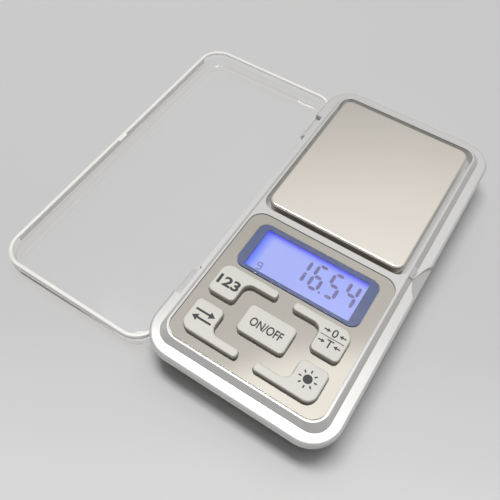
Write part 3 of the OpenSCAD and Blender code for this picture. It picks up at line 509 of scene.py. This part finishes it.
RIBBON = moulded("polyester_film_cable", "#d9c9a2", "#e0d1ad", 0.4, 0.6, 0.002)
BEAM = rolled_metal("aluminium_milled", "#cfd0d1", "#d8d9da", 0.32, 0.25, (1, 10, 1), 0.003)
POTTING = moulded("silicone_potting_cast", "#e8e6e0", "#efede8", 0.5, 1.2, 0.02)
JACKET = moulded("polyvinyl_sleeve_shrunk", "#2c3a55", "#324060", 0.35, 1.0, 0.006)
CONTACT = rolled_metal("spring_steel_nickel", "#cdc9c0", "#d6d2ca", 0.25, 0.2, (1, 1, 1), 0.002)
FOOT = moulded("rubber_moulded_black", "#242426", "#2a2a2c", 0.7, 0.4, 0.02, Specular_IOR_Level=0.3)
CARRIER = moulded("abs_moulded_carrier", "#c9c8c6", "#d1d0ce", 0.45, 0.6, 0.01)
GUIDE = moulded("acrylic_light_guide_milky", "#eef1f6", "#f4f6fa", 0.3, 1.0, 0.004)
GLASS = moulded("display_glass_backed", "#3a4468", "#404a70", 0.12, 2.0, 0.001)
CONNECTOR = moulded("silicone_connector_striped", "#d8b7b0", "#dfc0ba", 0.6, 0.4, 0.01)
DOME = rolled_metal("steel_snap_dome", "#cfcdc8", "#d7d5d1", 0.22, 0.2, (1, 1, 1), 0.001)

FINISHES = {
    "upper_case": CASE_SILVER,
    "lower_case": SHELL_SHADED_GREY,
    "battery_door": SHELL_SHADED_GREY,
    "faceplate": PLATE_METAL,
    "weighing_pan": PAN_METAL,
    "pan_support": CARRIER,
    "lcd_glass": GLASS,
    "backlight": GUIDE,
    "zebra_strip": CONNECTOR,
    "main_board": BOARD,
    "key_board": BOARD,
    "controller_chip": RESIN,
    "board_screws": SCREW,
    "case_screws": SCREW,
    "load_cell_screws": SCREW,
    "pan_screws": SCREW,
    "key_domes": DOME,
    "board_ribbon": RIBBON,
    "cell_ribbon": RIBBON,
    "load_cell": BEAM,
    "gauge_cover": POTTING,
    "battery_near": JACKET,
    "battery_far": JACKET,
    "positive_contacts": CONTACT,
    "negative_contacts": CONTACT,
    "feet": FOOT,
    "key_count": KEY_PLASTIC,
    "key_mode": KEY_PLASTIC,
    "key_power": KEY_PLASTIC,
    "key_tare": KEY_PLASTIC,
    "key_light": KEY_PLASTIC,
}

# width of the broken edge on the nodes that the eye can come near
BROKEN_EDGES = {"upper_case": 0.18, "lower_case": 0.2, "faceplate": 0.2}


def dress_cad_nodes():
    """Gives each carried-over node its material, and softly broken edges to those the eye can come near.
    """
    for name, material in FINISHES.items():
        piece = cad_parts[name]
        piece.data.materials.clear()
        piece.data.materials.append(material)
        if name in BROKEN_EDGES:
            edge = piece.modifiers.new("broken edge", "BEVEL")
            edge.width = BROKEN_EDGES[name] * MM
            edge.segments = 2
            edge.limit_method = "ANGLE"
            edge.angle_limit = math.radians(40)
            edge.use_clamp_overlap = True
            edge.harden_normals = False


# clear cover

HINGE_X, HINGE_Z = -28.6, 9.4
COVER = (-86.4, -59.2, -28.98, 59.2)
COVER_R, COVER_WALL, COVER_EDGE, COVER_FILLET = 8.1, 1.4, 1.8, 3.0
COVER_LOW, COVER_FLOOR, COVER_RIM = -0.8, 0.5, 5.88
# radius that the rim's two edges are rolled to
LIP_R = 0.5
# the upright wall ends this far below the rim, and from a little above that the wall is drawn off-white,
# as painted light for the glow along the rim
WALL_END, PAINTED_GLOW_EDGE = 1.5, 1.35
# ends of the two barrels along the hinge, their radius and the bevel at their ends
BARREL_ENDS = [(-41.9, -32.5), (32.5, 41.9)]
BARREL_R, BARREL_BEVEL = 1.9, 0.25
# each peg reaches out of its barrel's outer end and is rooted this deep inside it
PEG_R, PEG_OUT, PEG_ROOT = 0.8, 1.7, 0.5
# the web between barrel and wall, from side to side
WEB = (-29.52, -28.72)
# the catch inside the free edge, a small hook: its outline (x, z) and its ends along y
CATCH = [(-85.6, 5.86), (-85.0, 5.86), (-84.5, 5.63), (-85.0, 4.88), (-85.6, 4.88)]
CATCH_ENDS = (-1.7, 2.3)


def cover_tray():
    """The cover's tray: a rolled rim, an upright wall and a filleted floor."""
    profile = (
        [(COVER_EDGE + 2, COVER_LOW)]
        + arc(COVER_EDGE, COVER_LOW + COVER_EDGE, COVER_EDGE, 270, 180)
        + [(0, COVER_RIM - WALL_END)]
        + arc(LIP_R, COVER_RIM - LIP_R, LIP_R, 180, 90, 4)
        + arc(COVER_WALL - LIP_R, COVER_RIM - LIP_R, LIP_R, 90, 0, 4)
        + arc(COVER_WALL + COVER_FILLET, COVER_FLOOR + COVER_FILLET, COVER_FILLET, 180, 270)
        + [(COVER_WALL + COVER_FILLET + 1, COVER_FLOOR)]
    )
    return stacked(COVER, COVER_R, profile)


def cover_catch():
    """The hook that holds the cover shut."""
    mesh = bmesh.new()
    sides = [[mesh.verts.new((x * MM, y * MM, z * MM)) for x, z in CATCH] for y in CATCH_ENDS]
    for side in sides:
        mesh.faces.new(side)
    band(mesh, *sides)
    bmesh.ops.recalc_face_normals(mesh, faces=mesh.faces)
    return mesh


def cover_hinges():
    """Barrels, pegs and webs of the two hinges."""
    solids = []
    axis = (HINGE_X, HINGE_Z)
    narrow = BARREL_R - BARREL_BEVEL
    for near, far in BARREL_ENDS:
        steps_in = [(near, narrow), (near + BARREL_BEVEL, BARREL_R)]
        steps_out = [(far - BARREL_BEVEL, BARREL_R), (far, narrow)]
        solids.append(turned(steps_in + steps_out, axis))
        if near > 0:
            peg = (far - PEG_ROOT, far + PEG_OUT)
        else:
            peg = (near - PEG_OUT, near + PEG_ROOT)
        solids.append(turned([(y, PEG_R) for y in peg], axis, steps=24))
        web = [(WEB[0], near), (WEB[1], near), (WEB[1], far), (WEB[0], far)]
        solids.append(prism(web, COVER_RIM - WALL_END, HINGE_Z))
    return solids


def make_cover():
    """The cover as it was moulded, clear, with its rim and barrels drawn off-white as painted light for
    the glow that gathers in their thick plastic.
    """
    cover = add_mesh(
        "clear_cover", to_mesh("clear_cover", cover_tray()), CLEAR, "lid"
    )
    united(cover, cover_catch(), *cover_hinges())
    for finish in (
        polystyrene_painted_glow("polystyrene_rim_painted_glow", 0.2, 0.25, 0.4, "#f4f2ee", "#f9f7f3"),
        polystyrene_painted_glow("polystyrene_barrel_painted_glow", 0.35, 0.08, 0.14, "#d9d8d6", "#e1e0de"),
    ):
        cover.data.materials.append(finish)
    # painted light: faces near the rim take the off-white glow, and the barrels' faces take the
    # grey-white one
    above_rim = (COVER_RIM + 0.01) * MM
    for face in cover.data.polygons:
        level = max(cover.data.vertices[k].co.z for k in face.vertices)
        if face.center.z > (COVER_RIM - PAINTED_GLOW_EDGE) * MM and level < above_rim:
            face.material_index = 1
        elif level > above_rim or face.center.x > HINGE_X * MM:
            face.material_index = 2
    cover.data.shade_smooth()
    cover.data.set_sharp_from_angle(angle=math.radians(32))
    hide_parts("lid")


# display

LIT = (-17.4, -24.0, 16.85, -9.97)
WINDOW = (-20.2, -25.8, 20.2, -8.8)
GLASS_TOP, WINDOW_TOP = 14.0, 15.2

# which of the seven segments each figure lights: top, upper left, upper right, middle,
# lower left, lower right, bottom
FIGURES = {
    "1": "0010010",
    "4": "0111010",
    "5": "1101011",
    "6": "1101111",
    "g": "1111011",
}


def segment(ax, ay, bx, by, thick):
    """Six-cornered segment from a to b."""
    dx, dy = bx - ax, by - ay
    length = math.hypot(dx, dy)
    ux, uy = dx / length, dy / length
    half = thick / 2
    return [
        (ax, ay),
        (ax + (ux - uy) * half, ay + (uy + ux) * half),
        (bx - (ux + uy) * half, by - (uy - ux) * half),
        (bx, by),
        (bx - (ux - uy) * half, by - (uy + ux) * half),
        (ax + (ux + uy) * half, ay + (uy - ux) * half),
    ]


def figure(mesh, mark, x, y, wide, tall, thick, low, high, gap):
    """Draws one seven-segment figure; (x, y) is the middle of its lower left corner."""
    rows = [y, y + tall / 2, y + tall]
    ends = [
        ((x, rows[2]), (x + wide, rows[2])),
        ((x, rows[1]), (x, rows[2])),
        ((x + wide, rows[1]), (x + wide, rows[2])),
        ((x, rows[1]), (x + wide, rows[1])),
        ((x, rows[0]), (x, rows[1])),
        ((x + wide, rows[0]), (x + wide, rows[1])),
        ((x, rows[0]), (x + wide, rows[0])),
    ]
    for on, (a, b) in zip(FIGURES[mark], ends):
        if on == "1":
            length = math.hypot(b[0] - a[0], b[1] - a[1])
            ux, uy = (b[0] - a[0]) / length, (b[1] - a[1]) / length
            outline = segment(a[0] + ux * gap, a[1] + uy * gap, b[0] - ux * gap, b[1] - uy * gap, thick)
            prism(outline, low, high, mesh)


# figures of the reading with the left side of each, then their bottom, width, height,
# stroke and gap between segments
READING = [("1", -3.5), ("6", 1.8), ("5", 7.1), ("4", 12.45)]
READING_Y, READING_W, READING_H, READING_STROKE, READING_GAP = -20.5, 2.9, 8.0, 1.05, 0.25
# box of the decimal point, and of the border's opening
POINT = (5.4, -20.95, 6.1, -20.25)
BORDER_INNER = (-17.22, -24.5, 17.03, -10.47)
# the border is printed under the pane: its lower and upper face, over the glass, and the pane's underside
BORDER_LOW, BORDER_HIGH, PANE_LOW = 0.6, 0.83, 0.85


def make_field():
    """Lit field and figures, on top of the liquid crystal cell."""
    spread = (LIT[0] - 1.0, LIT[1] - 1.0, LIT[2] + 1.0, LIT[3] + 0.4)
    field = stacked(spread, 0.3, [(0, GLASS_TOP - 0.02), (0, GLASS_TOP + 0.02)])
    add_mesh("lit_field", to_mesh("lit_field", field), lit_display(), "case")
    ink = segment_ink()
    figures = bmesh.new()
    low, high = GLASS_TOP, GLASS_TOP + 0.05
    for mark, x in READING:
        figure(
            figures, mark, x, READING_Y, READING_W, READING_H, READING_STROKE, low, high, READING_GAP
        )
    prism(round_loop(*POINT, 0.15, 3), low, high, figures)
    # the unit letter stands small at the near left
    figure(figures, "g", -13.9, -23.55, 1.35, 2.3, 0.3, low, high, 0.02)
    add_mesh("figures", to_mesh("figures", figures), ink, "case")


def make_window():
    """Printed border under a clear pane."""
    x0, y0, x1, y1 = WINDOW
    border = bmesh.new()
    outer = round_loop(x0 + 0.1, y0 + 0.1, x1 - 0.1, y1 - 0.1, 2.9)
    inner = round_loop(*BORDER_INNER, 0.3)
    low, high = GLASS_TOP + BORDER_LOW, GLASS_TOP + BORDER_HIGH
    rings = [
        level_ring(border, loop, z)
        for loop, z in [(outer, low), (outer, high), (inner, high), (inner, low)]
    ]
    for ring, following in zip(rings, rings[1:] + rings[:1]):
        band(border, ring, following)
    bmesh.ops.recalc_face_normals(border, faces=border.faces)
    ink = screened_ink("screened_slate_blue", "#2f4070", "#354777")
    printed = add_mesh("window_border", to_mesh("window_border", border), ink, "case")

    bevel = 0.05
    shoulder = WINDOW_TOP - bevel
    profile = [(0, GLASS_TOP + PANE_LOW), (0, shoulder)] + arc(bevel, shoulder, bevel, 180, 90, 4)
    pane = to_mesh("window_pane", stacked(WINDOW, 3.0, profile))
    pane = add_mesh("window_pane", pane, ACRYLIC, "case")
    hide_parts("lcd_window")
    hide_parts("lcd_window")


# key signs

KEY_TOP = 16.75
KEYPAD_X = -0.3
# middle of the corner keys, from the keypad's middle, and of their far and near row
CORNER_KEY, FAR_ROW, NEAR_ROW = 16.4, -32.45, -45.8
SIGN_INK = screened_ink("screened_dark_grey", "#38383a", "#404042")


def lettering(name, words, x, y, height, low, high, bold, width=None):
    """Plain figures as a thin mesh: (x, y) is the middle, height the capital height."""
    curve = bpy.data.curves.new(name, "FONT")
    curve.body = words
    curve.align_x, curve.align_y = "CENTER", "CENTER"
    curve.offset = bold
    curve.extrude = 0.5
    made = placed(name, curve)
    graph = bpy.context.evaluated_depsgraph_get()
    mesh = bpy.data.meshes.new_from_object(made.evaluated_get(graph))
    bpy.data.objects.remove(made)
    low_corner = [min(v.co[k] for v in mesh.vertices) for k in range(3)]
    high_corner = [max(v.co[k] for v in mesh.vertices) for k in range(3)]
    mid = [(a + b) / 2 for a, b in zip(low_corner, high_corner)]
    spans = [b - a for a, b in zip(low_corner, high_corner)]
    up = height / spans[1]
    across = width / spans[0] if width else up
    for v in mesh.vertices:
        v.co = (
            (x + (v.co.x - mid[0]) * across) * MM,
            (y + (v.co.y - mid[1]) * up) * MM,
            (low + (v.co.z - low_corner[2]) / spans[2] * (high - low)) * MM,
        )
    mesh.materials.clear()
    return mesh


def stroke(mesh, points, thick, low, high):
    """A line of even width through points."""
    for (ax, ay), (bx, by) in zip(points, points[1:]):
        length = math.hypot(bx - ax, by - ay)
        nx, ny = -(by - ay) / length * thick / 2, (bx - ax) / length * thick / 2
        outline = [(ax + nx, ay + ny), (ax - nx, ay - ny), (bx - nx, by - ny), (bx + nx, by + ny)]
        prism(outline, low, high, mesh)


def arrow(mesh, tail, tip, thick, head, low, high):
    """A straight arrow from tail to tip."""
    (ax, ay), (bx, by) = tail, tip
    length = math.hypot(bx - ax, by - ay)
    ux, uy = (bx - ax) / length, (by - ay) / length
    neck = (bx - ux * head, by - uy * head)
    stroke(mesh, [tail, neck], thick, low, high)
    half = head * 0.62
    barbs = [(neck[0] - uy * half, neck[1] + ux * half), (neck[0] + uy * half, neck[1] - ux * half)]
    prism(barbs + [tip], low, high, mesh)


def make_signs():
    """Plain signs printed on the five keys."""
    low, high = KEY_TOP - 0.01, KEY_TOP + 0.02
    left, right = KEYPAD_X - CORNER_KEY, KEYPAD_X + CORNER_KEY

    count = lettering("count_sign", "123", left, -33.3, 3.3, low, high, width=6.9, bold=0.035)
    add_mesh("count_sign", count, SIGN_INK, "key_count")

    mode = bmesh.new()
    arrow(mode, (left - 3.1, NEAR_ROW + 1.1), (left + 3.1, NEAR_ROW + 1.1), 0.65, 1.8, low, high)
    arrow(mode, (left + 3.1, NEAR_ROW - 1.1), (left - 3.1, NEAR_ROW - 1.1), 0.65, 1.8, low, high)
    add_mesh("mode_sign", to_mesh("mode_sign", mode), SIGN_INK, "key_mode")

    power = lettering("power_sign", "ON/OFF", KEYPAD_X, -39.65, 2.7, low, high, width=10.0, bold=0.02)
    add_mesh("power_sign", power, SIGN_INK, "key_power")

    tare = bmesh.new()
    for y in (FAR_ROW + 1.8, FAR_ROW - 1.8):
        arrow(tare, (right - 3.3, y), (right - 1.3, y), 0.4, 1.0, low, high)
        arrow(tare, (right + 3.3, y), (right + 1.3, y), 0.4, 1.0, low, high)
    stroke(tare, [(right - 3.6, FAR_ROW), (right + 3.6, FAR_ROW)], 0.22, low, high)
    add_mesh("tare_sign", to_mesh("tare_sign", tare), SIGN_INK, "key_tare")
    for name, mark, y in [("zero_sign", "0", FAR_ROW + 1.8), ("tare_letter", "T", FAR_ROW - 1.8)]:
        mesh = lettering(name, mark, right, y, 2.5, low, high, bold=0.01)
        add_mesh(name, mesh, SIGN_INK, "key_tare")

    lamp = bmesh.new()
    bulb = 1.3
    disc = round_loop(right - bulb, NEAR_ROW - bulb, right + bulb, NEAR_ROW + bulb, bulb, 8)
    prism(disc, low, high, lamp)
    for k in range(8):
        c, s = math.cos(math.radians(45 * k)), math.sin(math.radians(45 * k))
        ray = [(right + r * c, NEAR_ROW + r * s) for r in (1.85, 2.7)]
        stroke(lamp, ray, 0.42, low, high)
    add_mesh("light_sign", to_mesh("light_sign", lamp), SIGN_INK, "key_light")


place_camera()
lay_table()
hang_lights()
dress_cad_nodes()
make_cover()
make_field()
make_window()
make_signs()
